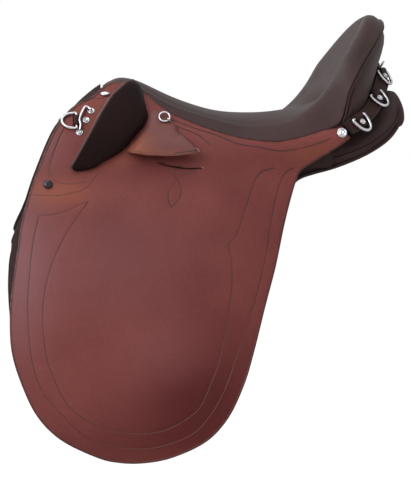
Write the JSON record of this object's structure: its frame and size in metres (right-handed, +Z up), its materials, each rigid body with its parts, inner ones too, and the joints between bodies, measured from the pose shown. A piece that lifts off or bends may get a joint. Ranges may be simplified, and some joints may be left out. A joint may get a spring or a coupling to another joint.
{
  "type": "stock saddle",
  "caption": "Treed stock saddle with a dished seat and high rolled cantle, knee pads, long swinging side flaps, stuffed panels with an open channel, and dee rings front and back.",
  "frame": {"origin": "on the centre line, below the lowest point of the seat, at the mean height of the faces with which the panels bear on the horse's back", "axes": "+X towards the cantle and the horse's tail, -X towards the pommel and the horse's head, -Y towards the near (left) side, +Y towards the off (right) side, +Z up from the horse's back towards the rider"},
  "size_m": [0.5793, 0.4036, 0.6253],
  "materials": {
    "flap_leather": "smooth oiled chestnut bridle leather",
    "seat_leather": "dark brown soft grained leather",
    "pad_leather": "very dark brown soft leather over stuffing",
    "panel_leather": "dark brown panel leather",
    "chrome": "polished plating",
    "black_metal": "black enamel",
    "steel": "forged and brushed",
    "wood": "laminated, sealed",
    "webbing": "woven canvas web"
  },
  "bodies": {
    "saddle": {"tree_head": "wood", "tree_cantle": "wood", "tree_bar_near": "wood", "tree_bar_off": "wood", "stirrup_bar_near": "steel", "stirrup_bar_off": "steel", "seat_webbing": "webbing", "seat": "seat_leather", "cantle_back": "seat_leather", "cantle_welt": "seat_leather", "dee_strap": "flap_leather", "crupper_loop": "chrome", "pommel_facing": "flap_leather", "cantle_chape_a_near": "flap_leather", "cantle_chape_a_off": "flap_leather", "cantle_chape_b_near": "flap_leather", "cantle_chape_b_off": "flap_leather", "cantle_chape_c_near": "flap_leather", "cantle_chape_c_off": "flap_leather", "panel_near": "panel_leather", "panel_off": "panel_leather", "sweat_flap_near": "seat_leather", "sweat_flap_off": "seat_leather", "flap_top_near": "flap_leather", "flap_top_off": "flap_leather", "knee_pad_near": "pad_leather", "knee_pad_off": "pad_leather", "skirt_near": "flap_leather", "skirt_off": "flap_leather", "tab_stud_near": "chrome", "tab_stud_off": "chrome", "pommel_nail_near": "chrome", "pommel_nail_off": "chrome", "front_chape_near": "flap_leather", "front_chape_off": "flap_leather", "front_staple_near": "chrome", "front_staple_off": "chrome", "skirt_staple_near": "chrome", "skirt_staple_off": "chrome", "girth_point_a_near": "flap_leather", "girth_point_a_off": "flap_leather", "girth_point_b_near": "flap_leather", "girth_point_b_off": "flap_leather"},
    "cantle_dee_a_near": {"cantle_dee_a_near": "chrome"},
    "cantle_dee_a_off": {"cantle_dee_a_off": "chrome"},
    "cantle_dee_b_near": {"cantle_dee_b_near": "chrome"},
    "cantle_dee_b_off": {"cantle_dee_b_off": "chrome"},
    "cantle_dee_c_near": {"cantle_dee_c_near": "chrome"},
    "cantle_dee_c_off": {"cantle_dee_c_off": "chrome"},
    "front_dee_near": {"front_dee_near": "chrome"},
    "front_dee_off": {"front_dee_off": "chrome"},
    "skirt_ring_near": {"skirt_ring_near": "chrome"},
    "skirt_ring_off": {"skirt_ring_off": "chrome"},
    "stirrup_catch_near": {"stirrup_catch_near": "steel"},
    "stirrup_catch_off": {"stirrup_catch_off": "steel"},
    "flap_near": {"flap_near": "flap_leather", "flap_stud_near": "black_metal"},
    "flap_off": {"flap_off": "flap_leather", "flap_stud_off": "black_metal"}
  },
  "joints": [
    {"name": "cantle_dee_a_near_hinge", "type": "hinge", "parent": "saddle", "child": "cantle_dee_a_near", "pos_m": [0.1502, -0.14537, 0.09608], "axis": [-0.6936, -0.6115, -0.3807], "range_deg": [0, 120]},
    {"name": "cantle_dee_a_off_hinge", "type": "hinge", "parent": "saddle", "child": "cantle_dee_a_off", "pos_m": [0.1502, 0.14537, 0.09608], "axis": [0.6936, -0.6115, 0.3807], "range_deg": [0, 120]},
    {"name": "cantle_dee_b_near_hinge", "type": "hinge", "parent": "saddle", "child": "cantle_dee_b_near", "pos_m": [0.18502, -0.0983, 0.13014], "axis": [-0.7016, -0.64, -0.3133], "range_deg": [0, 120]},
    {"name": "cantle_dee_b_off_hinge", "type": "hinge", "parent": "saddle", "child": "cantle_dee_b_off", "pos_m": [0.18502, 0.0983, 0.13014], "axis": [0.7016, -0.64, 0.3133], "range_deg": [0, 120]},
    {"name": "cantle_dee_c_near_hinge", "type": "hinge", "parent": "saddle", "child": "cantle_dee_c_near", "pos_m": [0.20386, -0.05349, 0.16419], "axis": [-0.6133, -0.7812, -0.1163], "range_deg": [0, 120]},
    {"name": "cantle_dee_c_off_hinge", "type": "hinge", "parent": "saddle", "child": "cantle_dee_c_off", "pos_m": [0.20386, 0.05349, 0.16419], "axis": [0.6133, -0.7812, 0.1163], "range_deg": [0, 120]},
    {"name": "front_dee_near_hinge", "type": "hinge", "parent": "saddle", "child": "front_dee_near", "pos_m": [-0.2415, -0.09893, 0.09095], "axis": [0, 0.498, 0.8672], "range_deg": [0, 110]},
    {"name": "front_dee_off_hinge", "type": "hinge", "parent": "saddle", "child": "front_dee_off", "pos_m": [-0.2415, 0.09893, 0.09095], "axis": [0, 0.498, -0.8672], "range_deg": [0, 110]},
    {"name": "skirt_ring_near_hinge", "type": "hinge", "parent": "saddle", "child": "skirt_ring_near", "pos_m": [-0.1125, -0.10268, 0.09179], "axis": [0.7071, 0.3522, 0.6132], "range_deg": [0, 140]},
    {"name": "skirt_ring_off_hinge", "type": "hinge", "parent": "saddle", "child": "skirt_ring_off", "pos_m": [-0.1125, 0.10268, 0.09179], "axis": [-0.7071, 0.3522, -0.6132], "range_deg": [0, 140]},
    {"name": "stirrup_catch_near_hinge", "type": "hinge", "parent": "saddle", "child": "stirrup_catch_near", "pos_m": [-0.0987, -0.12333, 0.05719], "axis": [0, 0.9179, -0.3967], "range_deg": [0, 90]},
    {"name": "stirrup_catch_off_hinge", "type": "hinge", "parent": "saddle", "child": "stirrup_catch_off", "pos_m": [-0.0987, 0.12333, 0.05719], "axis": [0, 0.9179, 0.3967], "range_deg": [0, 90]},
    {"name": "flap_near_hinge", "type": "hinge", "parent": "saddle", "child": "flap_near", "pos_m": [0, -0.13065, 0.013], "axis": [-1, 0, 0], "range_deg": [0, 60]},
    {"name": "flap_off_hinge", "type": "hinge", "parent": "saddle", "child": "flap_off", "pos_m": [0, 0.13065, 0.013], "axis": [1, 0, 0], "range_deg": [0, 60]}
  ]
}
